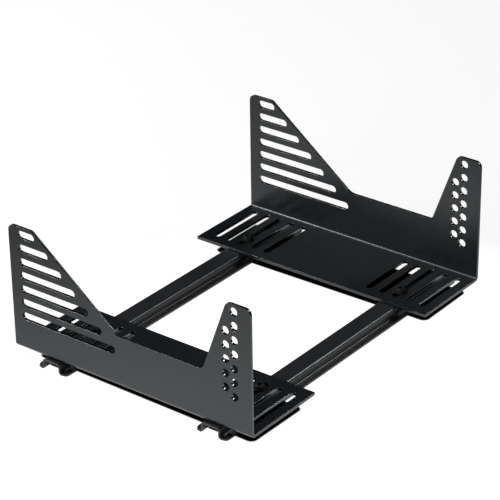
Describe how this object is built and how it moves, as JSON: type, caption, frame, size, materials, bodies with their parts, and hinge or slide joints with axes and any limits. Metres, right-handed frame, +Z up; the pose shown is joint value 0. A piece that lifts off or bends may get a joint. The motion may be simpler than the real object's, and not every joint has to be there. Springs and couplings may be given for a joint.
{
  "type": "racing seat side-mount frame",
  "caption": "Side-mount frame for a bucket racing seat: bent steel side brackets with slotted and drilled towers that slide in width on pressed cross bars.",
  "frame": {"origin": "middle of the frame's length and width, on the surface that the cross bars stand on", "axes": "+Z up, the seat faces -Y, +X to the seat's left; the brackets slide along X"},
  "size_m": [0.4914, 0.37, 0.1852],
  "materials": {
    "bracket_coat": "matte black powder coat with a fine grain",
    "bar_coat": "satin black powder coat",
    "black_screw": "black oxide on steel",
    "zinc_hardware": "black zinc plate on steel"
  },
  "bodies": {
    "cross_bars": {"front_cross_bar": "bar_coat", "rear_cross_bar": "bar_coat", "front_left_screw": "black_screw", "front_left_flange_washer": "zinc_hardware", "front_left_bar_washer": "zinc_hardware", "front_left_lock_nut": "zinc_hardware", "front_right_screw": "black_screw", "front_right_flange_washer": "zinc_hardware", "front_right_bar_washer": "zinc_hardware", "front_right_lock_nut": "zinc_hardware", "rear_left_screw": "black_screw", "rear_left_flange_washer": "zinc_hardware", "rear_left_bar_washer": "zinc_hardware", "rear_left_lock_nut": "zinc_hardware", "rear_right_screw": "black_screw", "rear_right_flange_washer": "zinc_hardware", "rear_right_bar_washer": "zinc_hardware", "rear_right_lock_nut": "zinc_hardware"},
    "left_side": {"left_bracket": "bracket_coat"},
    "right_side": {"right_bracket": "bracket_coat"}
  },
  "joints": [
    {"name": "left_bracket_slide", "type": "slide", "parent": "cross_bars", "child": "left_side", "axis": [1, 0, 0], "range_m": [-0.07, 0.012]},
    {"name": "right_bracket_slide", "type": "slide", "parent": "cross_bars", "child": "right_side", "axis": [-1, 0, 0], "range_m": [-0.07, 0.012]}
  ]
}
